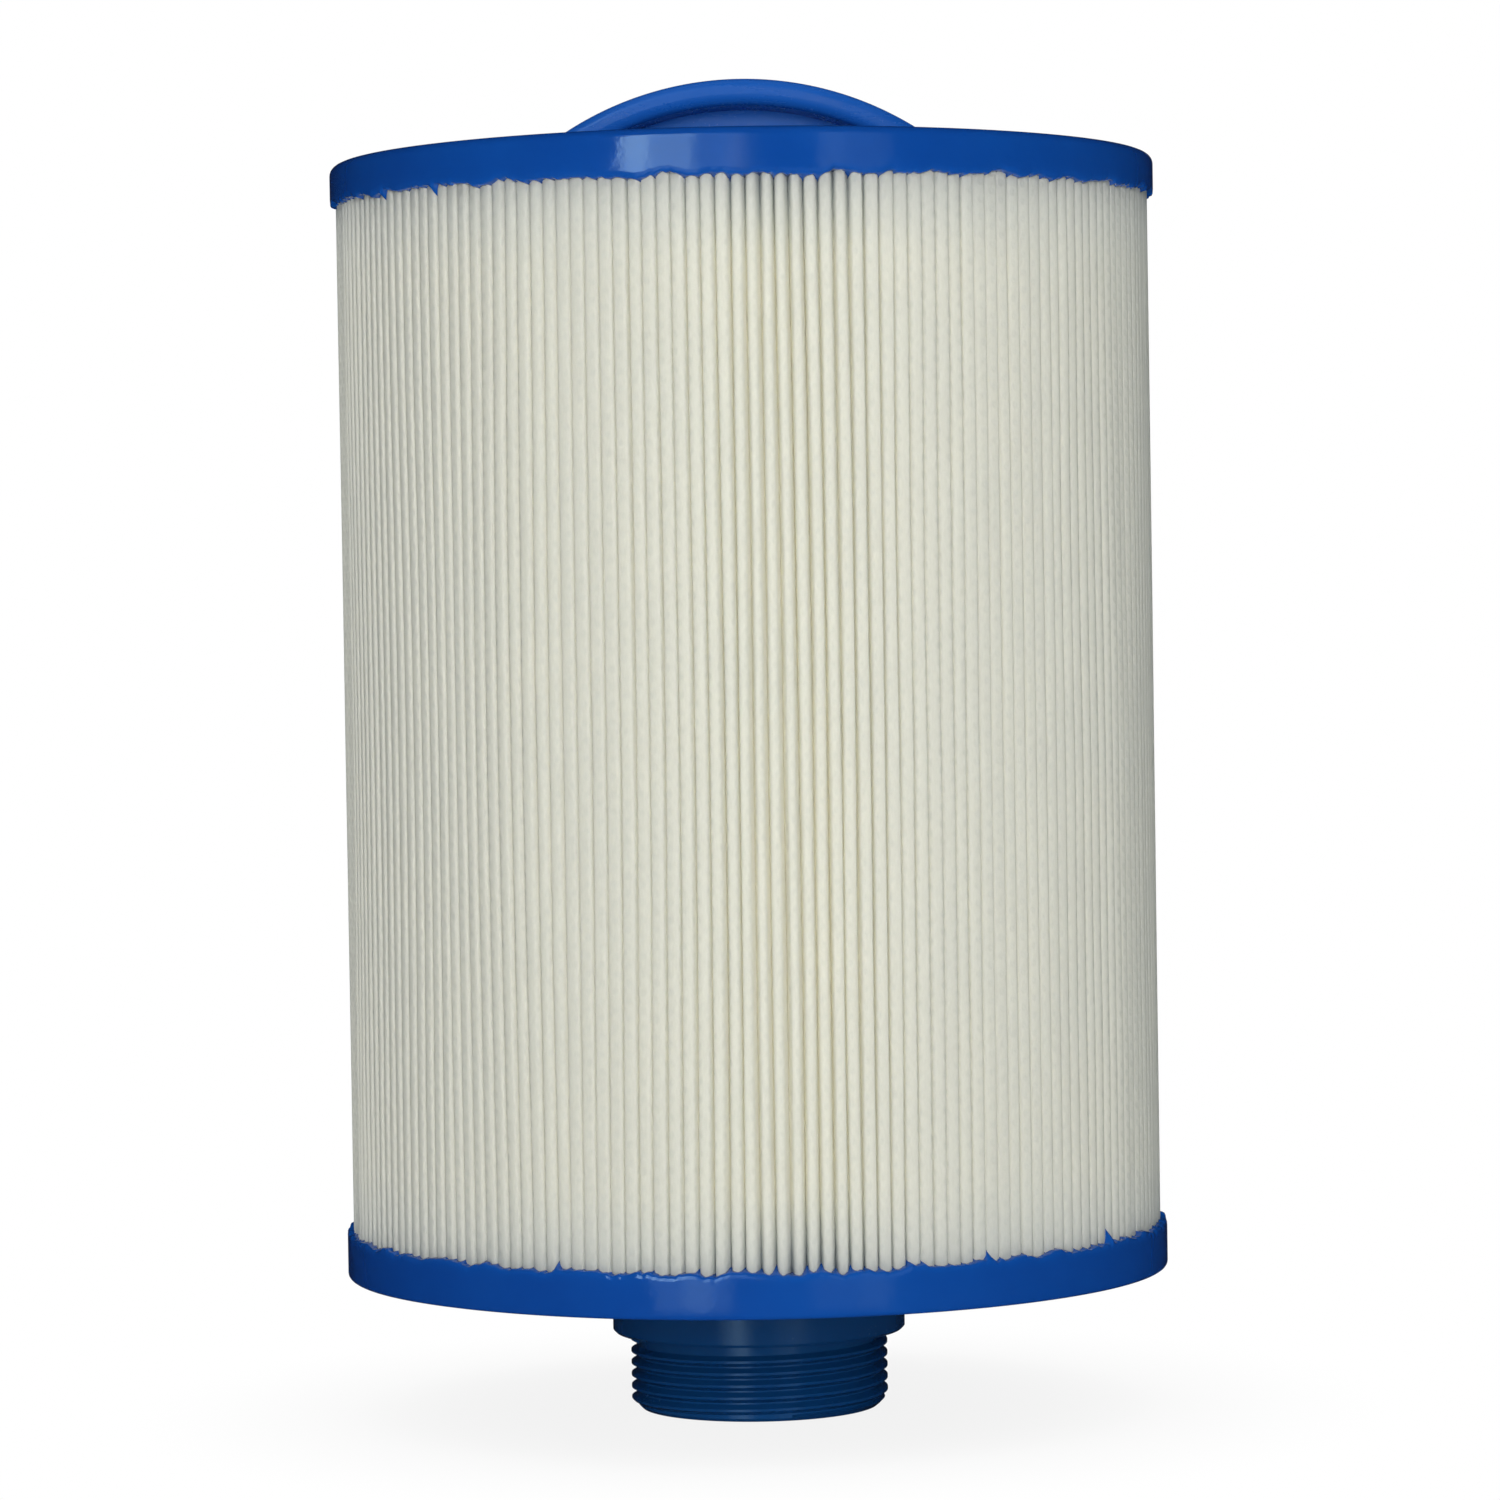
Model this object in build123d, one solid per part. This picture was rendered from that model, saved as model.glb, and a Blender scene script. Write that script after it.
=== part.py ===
"""A pleated filter cartridge that screws into the skimmer of a spa or a pool.

Water passes through the pleated sheet from outside, through the perforated core, and leaves down the
bore of the threaded adapter. Both end caps are cast resin: each one is poured round the ends of the
pleats and the core, and locks in a moulded insert, which is the handle at the top and the adapter at
the bottom. Units are millimetres and +Z is up. The origin is on the cartridge's axis, in the plane of
the adapter's shoulder, which is the face that stops against the fitting when the thread is home.
"""

from build123d import *
from math import atan2, cos, pi, radians, sin, sqrt, tan
import os

# ---- Driving dimensions ----

# Body
CAP_RADIUS = 76.2  # 6 inch cartridge
BODY_LENGTH = 205.0  # over both end caps
PLATE_THICKNESS = 4.4  # resin between a cap's face and the ends of the pleats
RIM_HEIGHT = 8.0  # full height of a cap at its edge
TOP_EDGE_RADIUS = 1.6  # the open side of the mould leaves a rounded edge
BOTTOM_EDGE_RADIUS = 0.8
FACE_SAG = 0.5  # how far the top face sinks between its rim and the handle
SAG_SLOPE = 1.0  # radial width of each side of that sag
RIM_LAND = 6.0  # width of the level ring at the rim

# Both inserts
SPIGOT_CLEARANCE = 0.2  # radial gap between the core's bore and an insert

# Threaded adapter, 1 1/2 inch pipe thread, 11.5 threads per inch
THREAD_PITCH = 25.4 / 11.5
THREAD_CREST_RADIUS = 23.9
THREAD_ROOT_RADIUS = 22.6
FLANK_ANGLE = 30.0
CREST_SHARE = 0.2  # the flat crest's share of the pitch
THREAD_SINK = 0.1  # how far the ridge's foot is sunk into the root
THREAD_LEAD = 1.8  # chamfer over the crests at the open end
THREAD_LENGTH = 14.2  # shoulder to the end of the nipple, with the relief
THREAD_TURN = 75.0  # where the thread begins round the nipple, in degrees
RELIEF_LENGTH = 0.3
COLLAR_RADIUS = 27.2
COLLAR_HEIGHT = 11.6  # shoulder to the bottom cap's face
BORE_RADIUS = 19.0
BORE_CHAMFER = 1.0
ANCHOR_RADIUS = 35.0  # of the flange cast into the bottom cap
ANCHOR_LIFT = 1.3  # resin under that flange
ANCHOR_THICKNESS = 2.3
ANCHOR_HOLES = 12
ANCHOR_HOLE_RADIUS = 2.0
SPIGOT_LENGTH = 8.0  # how far it reaches up inside the core

# Pleated sheet
PLEATS = 180
SHEET = 0.40  # thickness
PACK_RADIUS = 75.0
TIP_RADIUS = 0.52  # of the sheet's middle line, at an outer fold
VALLEY_RADIUS = 0.25  # of the sheet's middle line, at an inner fold
CORE_GAP = 0.6  # between the inner folds and the core
SEAM_DEPTH = 8.0  # how far the glue bead reaches in from the seam's cut edges
SEAM_TRIM = 0.9  # how much shorter the two glued ends are than a folded pleat

# Core tube
CORE_RADIUS = 28.0
CORE_WALL = 3.0
CORE_SECTIONS = ("lower", "middle", "upper")
WINDOW_COLUMNS = 12
WINDOW_ROWS = 4
WINDOW_WIDTH = 9.6
WINDOW_CORNER = 1.2
WINDOW_SHARE = 0.76  # of a row's height, the rest is rib
JOINT_BAND = 4.0  # plain tube left at each end of a section
SOCKET_DEPTH = 3.0
SOCKET_CLEARANCE = 0.1

# Handle
ARCH_RADIUS = 60.0
ARCH_RISE = 14.7  # above the top cap's face
ARCH_THICKNESS = 4.8
ARCH_WIDTH = 26.0
ARCH_OUTER_EDGE = 1.6  # rounding along the strap's upper edges
ARCH_INNER_EDGE = 2.0
ARCH_SINK = 0.5  # how far its feet run down into the flange, and stop short of its edge
WEB_THICKNESS = 4.0
WEB_GAP = 1.5  # from the top cap's face up to the web's lower edge
WEB_SINK = 1.0  # how far the web runs up into the strap
CUP_RADIUS = 21.6  # inside
CUP_DEPTH = 26.0
CUP_FLOOR = 2.4
CUP_CORNER = 4.0
FLANGE_RADIUS = 44.0
FLANGE_THICKNESS = 3.2
FLANGE_LIP = 2.0  # width of the level ring at the flange's edge
DISH_DEPTH = 1.5  # of the flange's upper face, inside that ring
KEY_RING = 2.5  # how far the flange's lower edge runs out into the resin
KEY_RING_THICKNESS = 1.4

# ---- Levels and radii that follow from them ----

BASE = COLLAR_HEIGHT  # bottom cap's lower face
TOP = BASE + BODY_LENGTH  # top cap's upper face
PLEAT_BOTTOM = BASE + PLATE_THICKNESS
PLEAT_TOP = TOP - PLATE_THICKNESS
ANCHOR_TOP = BASE + ANCHOR_LIFT + ANCHOR_THICKNESS
CORE_BORE = CORE_RADIUS - CORE_WALL
INSERT_RADIUS = CORE_BORE - SPIGOT_CLEARANCE


def turned(profile_points):
    """A solid of revolution about Z from (radius, height) points."""
    profile = make_face(Polyline([(r, 0, z) for r, z in profile_points], close=True))
    return revolve(profile, Axis.Z, 360)


def disc(radius, bottom, top):
    """A plain cylinder on the axis between two levels."""
    return Pos(0, 0, (bottom + top) / 2) * Cylinder(radius, top - bottom)


# ---- Pleated sheet ----


def pleat_points():
    """The points of one half pleat, from the tip at angle 0 to the valley half a pitch round.

    Each surface of the sheet is an arc at the tip, a straight flank and an arc at the valley. The
    flank touches both arcs, and its normal is the same for both surfaces, so the sheet keeps its
    thickness. Returns the two arc centres and that normal.
    """
    tip_at = PACK_RADIUS - TIP_RADIUS - SHEET / 2
    valley_at = CORE_RADIUS + CORE_GAP + VALLEY_RADIUS + SHEET / 2
    half_pitch = pi / PLEATS
    tip = Vector(tip_at, 0)
    valley = Vector(valley_at * cos(half_pitch), valley_at * sin(half_pitch))
    across = valley - tip
    heading = atan2(across.Y, across.X)
    lean = sqrt(1 - ((TIP_RADIUS + VALLEY_RADIUS) / across.length) ** 2)
    share = (TIP_RADIUS + VALLEY_RADIUS) / across.length
    normal = Vector(
        share * cos(heading) + lean * sin(heading), share * sin(heading) - lean * cos(heading)
    )
    return tip, valley, normal


def surface_edges(offset, first_cut, last_cut):
    """The edges of one surface of the sheet, offset from its middle line, in order round the pack.

    They start on the flank that leaves the seam and stop on the flank that comes back to it. The two
    cuts are the distances from the seam pleat's tip centre, measured along its flanks.
    """
    tip, valley, normal = pleat_points()
    tip_r = TIP_RADIUS + offset
    valley_r = VALLEY_RADIUS - offset
    tip_touch = tip + normal * tip_r
    valley_touch = valley - normal * valley_r
    half_pitch = 180 / PLEATS
    valley_low = valley * ((valley.length - valley_r) / valley.length)

    def turned_point(point, pitches, mirrored=False):
        flipped = Vector(point.X, -point.Y) if mirrored else point
        return flipped.rotate(Axis.Z, 2 * half_pitch * pitches)

    def flank_start(cut):
        along = (valley_touch - tip_touch).normalized()
        return tip_touch + along * cut

    edges = []
    for k in range(PLEATS):
        start = flank_start(first_cut) if k == 0 else tip_touch
        edges.append(Line(turned_point(start, k), turned_point(valley_touch, k)))
        edges.append(
            ThreePointArc(
                turned_point(valley_touch, k),
                turned_point(valley_low, k),
                turned_point(valley_touch, k + 1, True),
            )
        )
        last = k == PLEATS - 1
        end = flank_start(last_cut) if last else tip_touch
        edges.append(Line(turned_point(valley_touch, k + 1, True), turned_point(end, k + 1, True)))
        if not last:
            edges.append(
                ThreePointArc(
                    turned_point(tip_touch, k + 1, True),
                    turned_point(Vector(tip.X + tip_r, 0), k + 1),
                    turned_point(tip_touch, k + 1),
                )
            )
    return edges


def pleated_media():
    """One sheet folded into pleats, with its two cut ends side by side at the seam on the +X side."""
    outside = surface_edges(SHEET / 2, SEAM_TRIM, SEAM_TRIM)
    inside = surface_edges(-SHEET / 2, SEAM_TRIM, SEAM_TRIM)
    ends = [Line(outside[0] @ 0, inside[0] @ 0), Line(outside[-1] @ 1, inside[-1] @ 1)]
    profile = Face(Wire(outside + inside + ends))
    return Pos(0, 0, PLEAT_BOTTOM) * extrude(profile, PLEAT_TOP - PLEAT_BOTTOM)


def seam_bead():
    """The strip of glue between the sheet's two ends, which closes the pack into a ring."""
    inside = surface_edges(-SHEET / 2, SEAM_TRIM, SEAM_TRIM)
    deep = surface_edges(-SHEET / 2, SEAM_TRIM + SEAM_DEPTH, SEAM_TRIM + SEAM_DEPTH)
    corners = [inside[0] @ 0, deep[0] @ 0, deep[-1] @ 1, inside[-1] @ 1]
    profile = make_face(Polyline(corners, close=True))
    return Pos(0, 0, PLEAT_BOTTOM) * extrude(profile, PLEAT_TOP - PLEAT_BOTTOM)


# ---- Core tube ----


def core_section(index):
    """One moulded length of the core. A spigot on its top fits the socket in the next one's foot."""
    length = (PLEAT_TOP - PLEAT_BOTTOM) / len(CORE_SECTIONS)
    foot = PLEAT_BOTTOM + index * length
    head = foot + length
    joint_radius = CORE_BORE + CORE_WALL / 2
    tube = disc(CORE_RADIUS, foot, head) - disc(CORE_BORE, foot, head)
    if index > 0:
        tube -= disc(joint_radius + SOCKET_CLEARANCE, foot, foot + SOCKET_DEPTH + SOCKET_CLEARANCE)
    if index < len(CORE_SECTIONS) - 1:
        tube += disc(joint_radius, head, head + SOCKET_DEPTH) - disc(
            CORE_BORE, head, head + SOCKET_DEPTH
        )
    row_pitch = (length - 2 * JOINT_BAND) / WINDOW_ROWS
    window = Box(2 * CORE_RADIUS, WINDOW_WIDTH, row_pitch * WINDOW_SHARE)
    window = fillet(window.edges().filter_by(Axis.X), WINDOW_CORNER)
    half_window = Pos(CORE_RADIUS, 0, 0) * window
    cuts = [
        Rot(0, 0, 360 / WINDOW_COLUMNS * column)
        * Pos(0, 0, (foot + head) / 2 + row_pitch * (row - (WINDOW_ROWS - 1) / 2))
        * half_window
        for column in range(WINDOW_COLUMNS)
        for row in range(WINDOW_ROWS)
    ]
    return tube - cuts


# ---- Threaded adapter ----


def thread_ridge():
    """The thread's ridge: a trapezoid carried up a helix, a little sunk into the root."""
    depth = THREAD_CREST_RADIUS - THREAD_ROOT_RADIUS
    foot_radius = THREAD_ROOT_RADIUS - THREAD_SINK
    crest_half = THREAD_PITCH * CREST_SHARE / 2
    foot_half = crest_half + (depth + THREAD_SINK) * tan(radians(FLANK_ANGLE))
    start = -THREAD_LENGTH + crest_half
    rise = THREAD_LENGTH - RELIEF_LENGTH - foot_half - crest_half
    path = Helix(THREAD_PITCH, rise, THREAD_ROOT_RADIUS, center=(0, 0, start))
    profile = Polyline(
        [
            (foot_radius, 0, start - foot_half),
            (THREAD_CREST_RADIUS, 0, start - crest_half),
            (THREAD_CREST_RADIUS, 0, start + crest_half),
            (foot_radius, 0, start + foot_half),
        ],
        close=True,
    )
    return sweep(make_face(profile), path=path, is_frenet=True)


def threaded_adapter():
    """The moulded outlet: a threaded nipple, a collar, a flange cast into the cap, and a spigot."""
    anchor_bottom = BASE + ANCHOR_LIFT
    spigot_top = PLEAT_BOTTOM + SPIGOT_LENGTH
    nose = 0.6
    collar_edge = 0.5
    body = turned(
        [
            (BORE_RADIUS + BORE_CHAMFER, -THREAD_LENGTH),
            (THREAD_ROOT_RADIUS - nose, -THREAD_LENGTH),
            (THREAD_ROOT_RADIUS, -THREAD_LENGTH + nose),
            (THREAD_ROOT_RADIUS, 0),
            (COLLAR_RADIUS - collar_edge, 0),
            (COLLAR_RADIUS, collar_edge),
            (COLLAR_RADIUS, anchor_bottom),
            (ANCHOR_RADIUS, anchor_bottom),
            (ANCHOR_RADIUS, ANCHOR_TOP),
            (INSERT_RADIUS, ANCHOR_TOP),
            (INSERT_RADIUS, spigot_top - BORE_CHAMFER),
            (INSERT_RADIUS - BORE_CHAMFER, spigot_top),
            (BORE_RADIUS, spigot_top),
            (BORE_RADIUS, -THREAD_LENGTH + BORE_CHAMFER),
        ]
    )
    over = THREAD_CREST_RADIUS + collar_edge
    envelope = turned(
        [
            (0, -THREAD_LENGTH),
            (THREAD_CREST_RADIUS - THREAD_LEAD, -THREAD_LENGTH),
            (over, -THREAD_LENGTH + THREAD_LEAD + collar_edge),
            (over, 0),
            (0, 0),
        ]
    )
    ridge = Rot(0, 0, -THREAD_TURN) * thread_ridge() & envelope
    hole_circle = (COLLAR_RADIUS + ANCHOR_RADIUS) / 2 + collar_edge
    hole = Pos(hole_circle, 0, 0) * disc(ANCHOR_HOLE_RADIUS, anchor_bottom - 1, ANCHOR_TOP + 1)
    holes = [Rot(0, 0, 360 / ANCHOR_HOLES * k) * hole for k in range(ANCHOR_HOLES)]
    return body + ridge - holes


# ---- Handle ----


def handle_arch():
    """The bridge: a curved strap with rounded edges and a web under its middle."""
    inner = ARCH_RADIUS - ARCH_THICKNESS
    strap = Cylinder(ARCH_RADIUS, ARCH_WIDTH) - Cylinder(inner, ARCH_WIDTH)
    for radius, rounding in ((ARCH_RADIUS, ARCH_OUTER_EDGE), (inner, ARCH_INNER_EDGE)):
        rims = strap.edges().filter_by(GeomType.CIRCLE)
        strap = fillet([e for e in rims if abs(e.radius - radius) < 0.1], rounding)
    web = Cylinder(inner + WEB_SINK, WEB_THICKNESS)
    in_place = Pos(0, 0, TOP + ARCH_RISE - ARCH_RADIUS) * Rot(90, 0, 0)
    reach = FLANGE_RADIUS - ARCH_SINK
    above_flange = disc(reach, TOP - DISH_DEPTH - ARCH_SINK, TOP + 2 * ARCH_RISE)
    above_web_edge = disc(reach, TOP + WEB_GAP, TOP + 2 * ARCH_RISE)
    return (in_place * strap & above_flange) + (in_place * web & above_web_edge)


def handle_insert():
    """The moulded handle: a finger cup that closes the core, a flange cast into the cap, an arch."""
    flange_bottom = TOP - FLANGE_THICKNESS
    cup_floor = TOP - CUP_DEPTH
    lip_radius = FLANGE_RADIUS - FLANGE_LIP
    slope = 2.6
    dish = turned(
        [
            (0, cup_floor - CUP_FLOOR),
            (INSERT_RADIUS - CUP_CORNER + 1, cup_floor - CUP_FLOOR),
            (INSERT_RADIUS, cup_floor - CUP_FLOOR + CUP_CORNER - 1),
            (INSERT_RADIUS, flange_bottom),
            (FLANGE_RADIUS + KEY_RING, flange_bottom),
            (FLANGE_RADIUS + KEY_RING, flange_bottom + KEY_RING_THICKNESS),
            (FLANGE_RADIUS, flange_bottom + KEY_RING_THICKNESS),
            (FLANGE_RADIUS, TOP),
            (lip_radius, TOP),
            (lip_radius - slope, TOP - DISH_DEPTH),
            (CUP_RADIUS + slope, TOP - DISH_DEPTH),
            (CUP_RADIUS, TOP - DISH_DEPTH - slope),
            (CUP_RADIUS, cup_floor + CUP_CORNER),
            (CUP_RADIUS - CUP_CORNER, cup_floor),
            (0, cup_floor),
        ]
    )
    return dish + handle_arch()


# ---- End caps ----


def outer_circle(solid, lowest):
    """The lowest or the highest of the circles at a cap's full radius."""
    circles = solid.edges().filter_by(GeomType.CIRCLE)
    widest = [e for e in circles if abs(e.radius - CAP_RADIUS) < 0.1]
    return ShapeList(widest).sort_by(Axis.Z)[0 if lowest else -1]


def top_cap(buried):
    """The cast cap at the top, poured round everything in the list that it buries."""
    sag_outside = CAP_RADIUS - RIM_LAND
    sag_inside = FLANGE_RADIUS + 2 * FLANGE_LIP
    blank = turned(
        [
            (INSERT_RADIUS, PLEAT_TOP),
            (CORE_BORE, PLEAT_TOP),
            (CORE_BORE, TOP - RIM_HEIGHT),
            (CAP_RADIUS, TOP - RIM_HEIGHT),
            (CAP_RADIUS, TOP),
            (sag_outside, TOP),
            (sag_outside - SAG_SLOPE, TOP - FACE_SAG),
            (sag_inside + SAG_SLOPE, TOP - FACE_SAG),
            (sag_inside, TOP),
            (FLANGE_RADIUS, TOP),
            (FLANGE_RADIUS, TOP - FLANGE_THICKNESS),
            (INSERT_RADIUS, TOP - FLANGE_THICKNESS),
        ]
    )
    blank = fillet(outer_circle(blank, lowest=False), TOP_EDGE_RADIUS)
    return blank - buried


def bottom_cap(buried):
    """The cast cap at the bottom, poured round everything in the list that it buries."""
    blank = turned(
        [
            (COLLAR_RADIUS, BASE),
            (CAP_RADIUS, BASE),
            (CAP_RADIUS, BASE + RIM_HEIGHT),
            (CORE_BORE, BASE + RIM_HEIGHT),
            (CORE_BORE, PLEAT_BOTTOM),
            (INSERT_RADIUS, PLEAT_BOTTOM),
            (INSERT_RADIUS, ANCHOR_TOP),
            (COLLAR_RADIUS, ANCHOR_TOP),
        ]
    )
    blank = fillet(outer_circle(blank, lowest=True), BOTTOM_EDGE_RADIUS)
    return blank - buried


# ---- Build and write ----


def main():
    os.makedirs("parts", exist_ok=True)
    media = pleated_media()
    bead = seam_bead()
    cores = [core_section(i) for i in range(len(CORE_SECTIONS))]
    handle = handle_insert()
    adapter = threaded_adapter()
    nodes = {
        "pleated_media": media,
        "seam_bead": bead,
        "handle_insert": handle,
        "threaded_adapter": adapter,
        "top_cap": top_cap([media, bead, cores[-1], handle]),
        "bottom_cap": bottom_cap([media, bead, cores[0], adapter]),
    }
    for name, core in zip(CORE_SECTIONS, cores):
        nodes["core_section_" + name] = core
    for name, shape in nodes.items():
        export_step(shape, f"parts/{name}.step")


main()
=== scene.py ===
"""The looks of a pleated filter cartridge: its soft folded sheet, its cast caps and their plastics.

The sheet is rebuilt as one folded surface with the small leans and waves of real pleats. Both caps are
rebuilt as resin that has crept up between those pleats. The moulded handle, the threaded adapter and the
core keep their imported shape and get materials. Lengths named in millimetres are turned into metres by MM.
"""

from math import cos, pi, radians, sin, tan

import bpy
import numpy as np
from mathutils import Matrix, Vector

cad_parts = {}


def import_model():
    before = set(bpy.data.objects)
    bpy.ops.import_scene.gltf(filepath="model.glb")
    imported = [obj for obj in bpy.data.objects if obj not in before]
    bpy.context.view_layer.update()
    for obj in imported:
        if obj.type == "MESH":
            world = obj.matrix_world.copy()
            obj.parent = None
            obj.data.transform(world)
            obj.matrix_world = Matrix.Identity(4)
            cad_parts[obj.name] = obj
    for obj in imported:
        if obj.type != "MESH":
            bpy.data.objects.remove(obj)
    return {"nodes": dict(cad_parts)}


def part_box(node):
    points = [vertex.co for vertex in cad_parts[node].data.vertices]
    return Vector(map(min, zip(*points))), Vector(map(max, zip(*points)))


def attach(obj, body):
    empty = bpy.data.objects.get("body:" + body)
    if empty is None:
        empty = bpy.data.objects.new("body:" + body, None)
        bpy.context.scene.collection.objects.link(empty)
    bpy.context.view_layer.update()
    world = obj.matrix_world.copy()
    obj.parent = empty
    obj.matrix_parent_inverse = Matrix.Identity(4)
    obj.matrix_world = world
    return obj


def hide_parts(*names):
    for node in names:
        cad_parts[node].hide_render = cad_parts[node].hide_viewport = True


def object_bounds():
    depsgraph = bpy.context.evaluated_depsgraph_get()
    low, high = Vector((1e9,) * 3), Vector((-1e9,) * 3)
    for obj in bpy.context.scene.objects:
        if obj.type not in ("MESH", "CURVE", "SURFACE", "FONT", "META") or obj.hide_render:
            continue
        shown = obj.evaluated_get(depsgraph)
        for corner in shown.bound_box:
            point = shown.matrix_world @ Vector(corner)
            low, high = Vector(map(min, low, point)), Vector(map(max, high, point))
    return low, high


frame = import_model()
cad_low, cad_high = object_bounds()

MM = 0.001

# ---- The sheet, in millimetres ----

PLEATS = 180
ROWS = 23  # of points up the height of the sheet
SHEET = 0.40  # thickness
TIGHT_ROUNDING = 0.14  # how far a fold's rounding reaches out where pleats crowd, to the sheet's middle
OPEN_ROUNDING = 0.58  # the same where they stand apart
TIGHT_TIP = 1.04  # half of a pleat's thickness where its rounding starts and pleats crowd
OPEN_TIP = 0.62  # the same where they stand apart
SHOULDER = 0.98  # where a pleat is widest, as a share of its depth from valley to tip
CLEARANCE = 0.05  # half of the gap that is left between two pleats there
TIGHT_BLUNTNESS = 0.32  # power of the cosine that shapes a tip: 1 is an ellipse and less is flatter
OPEN_BLUNTNESS = 0.95
VALLEY_RADIUS = 0.25  # of the inner folds, to the sheet's middle
VALLEY_GAP = 0.6  # between the inner folds and the core
TIP_RUN = 1.2  # along the sheet from a flank's end to the middle of the outer fold
OUTER_TIP_STEPS = 6  # round the outside of a fold
INNER_TIP_STEPS = 2  # round its inside, which isn't seen
FLANK_DEPTHS = (0.0, 0.75, SHOULDER)  # where a flank has points, from 0 at its valley to 1 at its tip

# Where pleats stand apart: the azimuth of each stretch's middle, its reach in degrees and how open it is
OPEN_STRETCHES = ((9.5, 13, 1.0), (62, 20, 0.5), (152, 24, 1.0), (-112, 16, 1.0))
STRAY_SHARE = 0.14  # of the pleats, which stand a little apart wherever they are
STRAY_OPENNESS = 0.35

# How far the pleats' tips wander round and in, in millimetres
SWIRL = -6.0  # of every pleat alike
SLOW_LEAN = 0.45  # shared by ten pleats
NEAR_LEAN = 0.12  # shared by three
OWN_LEAN = 0.06  # of each pleat by itself
PAIR_PULL = 0.09  # of every second pleat towards the one before it
TIGHT_FREEDOM = 0.2  # share of the last three that is left where pleats crowd
OWN_INSET = 0.16  # shared by two pleats
SLOW_INSET = 0.14  # shared by seven
TIGHT_INSET = 0.5  # share of both insets that is left where pleats crowd
TIP_UNEVENNESS = 0.05  # in a pleat's thickness
SEED = 41

# ---- The bead of glue in the seam ----

GLUE_FRONT = 0.975  # where it ends, as a share of the pleat's depth
GLUE_BACK = 0.80
GLUE_PROUD = 0.25  # how far it stands out past its front, in millimetres

# ---- The caps, in millimetres ----

STEPS_PER_PLEAT = 8
COLLAR_RADIUS = 27.2  # of the adapter's collar
FLANGE_RADIUS = 44.0  # of the handle's flange
BOTTOM_RIM_RISE = 0.3  # of the cast edge over the CAD's rim
TOP_RIM_RISE = 1.0
BOTTOM_FRONT_FILL = -0.3  # how much fuller the mould was at the front than at the sides
TOP_FRONT_FILL = 0.9
BOTTOM_CORNER = 0.8  # radius of the outer corner
TOP_CORNER = 1.6
RAGGED = 0.16  # random unevenness of the edge from point to point
HAND_WAVE = 0.05  # how far the wall is from round
EDGE_WAVES = ((2, 0.06), (5, 0.08), (9, 0.08), (17, 0.12), (31, 0.18), (47, 0.20), (61, 0.18))
CREEP_LEAST, CREEP_SPREAD = 0.2, 0.6  # how far resin creeps into a gap, as a share of the profile's creep
TIGHT_CREEP = 0.45  # share of that where pleats crowd
LONG_RUNS = 0.04  # share of the gaps where it ran further
LONG_RUN_LEAST, LONG_RUN_SPREAD = 0.6, 1.0


# ---- Mesh helpers ----


def add_piece(name, points, faces, material):
    """A smooth mesh piece from points in metres, riding on the cartridge."""
    mesh = bpy.data.meshes.new(name)
    mesh.from_pydata([tuple(p) for p in points], [], faces)
    mesh.polygons.foreach_set("use_smooth", [True] * len(mesh.polygons))
    mesh.materials.append(material)
    piece = bpy.data.objects.new(name, mesh)
    bpy.context.scene.collection.objects.link(piece)
    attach(piece, "root")
    return piece


def grid_faces(rows, columns, closed_columns=False, flip=False, start=0):
    """Quads over a grid of points numbered row by row, facing out of a wall that runs anticlockwise."""
    faces = []
    last = columns if closed_columns else columns - 1
    for j in range(rows - 1):
        for c in range(last):
            d = (c + 1) % columns
            quad = (j * columns + c, j * columns + d, (j + 1) * columns + d, (j + 1) * columns + c)
            quad = tuple(start + q for q in quad)
            faces.append(quad[::-1] if flip else quad)
    return faces


def smooth_field(rng, knots_round, knots_up, amplitude):
    """A random field over pleats and rows that repeats round the pack and changes gently."""
    knots = rng.normal(0, amplitude, (knots_round, knots_up))
    knots = np.vstack([knots, knots[:1]])
    at_pleat = np.arange(PLEATS) * knots_round / PLEATS
    at_row = np.linspace(0, knots_up - 1, ROWS)

    def blend(values, at):
        low = np.minimum(at.astype(int), len(values) - 2)
        share = (at - low) ** 2 * (3 - 2 * (at - low))
        return values[low] * (1 - share)[:, None] + values[low + 1] * share[:, None]

    return blend(blend(knots, at_pleat).T, at_row).T


# ---- Folded sheet ----

media_low, media_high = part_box("pleated_media")
PACK_RADIUS = media_high.y / MM
CORE_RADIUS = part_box("core_section_middle")[1].x / MM
TIP_AT = PACK_RADIUS - OPEN_ROUNDING - SHEET / 2
VALLEY_AT = CORE_RADIUS + VALLEY_GAP + VALLEY_RADIUS + SHEET / 2
ROW_LEVELS = np.linspace(media_low.z / MM, media_high.z / MM, ROWS)
TOP_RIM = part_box("top_cap")[0].z / MM
BOTTOM_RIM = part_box("bottom_cap")[1].z / MM

rng = np.random.RandomState(SEED)


def openness(azimuth):
    """How far apart pleats stand at an azimuth in degrees, 0 in front: 1 well apart, 0 crowded."""
    share = np.zeros(np.shape(azimuth))
    for middle, reach, strength in OPEN_STRETCHES:
        away = (azimuth - middle + 180) % 360 - 180
        share += strength * np.exp(-((away / reach) ** 2))
    return np.minimum(share, 1)


def between(tight, loose, share):
    """A value on the way from where pleats crowd to where they stand apart."""
    return tight + (loose - tight) * share


def front_azimuth(angle):
    """The azimuth in degrees from the front of an angle in radians from +x."""
    return np.degrees(angle) + 90


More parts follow.
